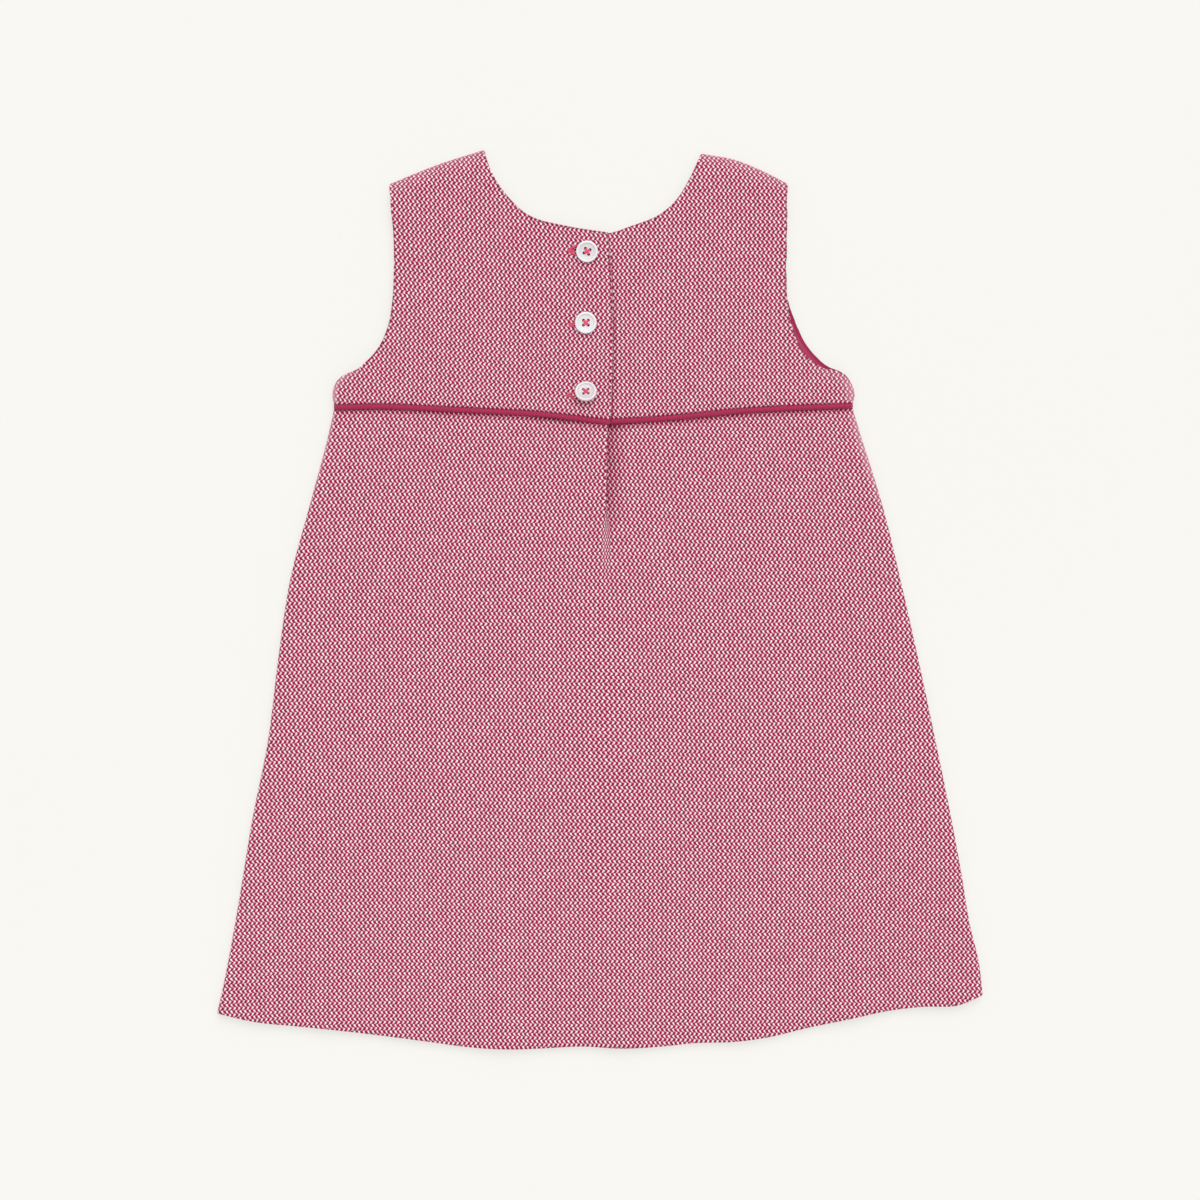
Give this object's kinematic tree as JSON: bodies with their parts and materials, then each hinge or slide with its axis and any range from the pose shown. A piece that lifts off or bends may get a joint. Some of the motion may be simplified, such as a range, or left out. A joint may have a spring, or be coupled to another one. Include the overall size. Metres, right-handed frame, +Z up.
{
  "type": "pinafore dress",
  "caption": "Child's sleeveless pinafore dress in pink and white tweed, laid flat with its buttoned back up; piped waist seam and a pleat under the button lap",
  "frame": {"origin": "On the table under the middle of the dress as it lies", "axes": "+X to the right of someone who looks down on the back of the dress, +Y to the neck, +Z up from the table"},
  "size_m": [0.4438, 0.522, 0.0123],
  "materials": {
    "tweed": "matte woven pink and white tweed",
    "plain_cloth": "matte plain raspberry cloth",
    "button_pearl": "glossy pearl white"
  },
  "bodies": {
    "root": {"front_skirt": "tweed", "front_bodice": "tweed", "front_armhole_facing": "plain_cloth", "front_piping": "plain_cloth", "back_skirt": "tweed", "back_bodice_right": "tweed", "back_bodice_left": "tweed", "back_piping_left": "plain_cloth", "back_piping_right": "plain_cloth", "button_1": "button_pearl", "button_2": "button_pearl", "button_3": "button_pearl"}
  },
  "joints": []
}
